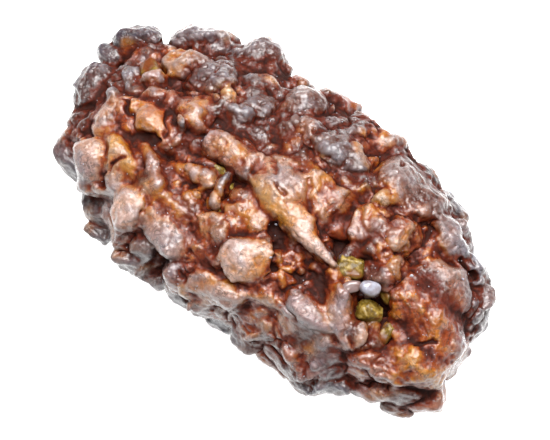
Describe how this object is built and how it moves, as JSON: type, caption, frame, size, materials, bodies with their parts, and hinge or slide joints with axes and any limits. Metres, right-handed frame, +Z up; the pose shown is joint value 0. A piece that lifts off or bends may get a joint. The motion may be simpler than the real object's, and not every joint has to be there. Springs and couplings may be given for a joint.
{
  "type": "apple fritter",
  "caption": "Glazed oval apple fritter with a craggy top of knobs and folds, dice of apple showing in its gaps and a flat underside to rest on.",
  "frame": {"origin": "on the table, under the middle of the fritter's box", "axes": "+X along the fritter, +Y across it, +Z up"},
  "size_m": [0.1254, 0.071, 0.0393],
  "materials": {
    "glazed_dough": "fried dough, dark brown in the gaps and tan on the knobs, under a clear sugar glaze",
    "apple_flesh": "cooked apple, olive yellow and wet with glaze"
  },
  "bodies": {
    "root": {"dough": "glazed_dough", "apple_middle": "apple_flesh", "apple_sliver": "apple_flesh", "apple_left": "apple_flesh", "apple_top": "apple_flesh", "apple_right": "apple_flesh", "apple_cube": "apple_flesh", "apple_wedge": "apple_flesh", "apple_end": "apple_flesh"}
  },
  "joints": []
}
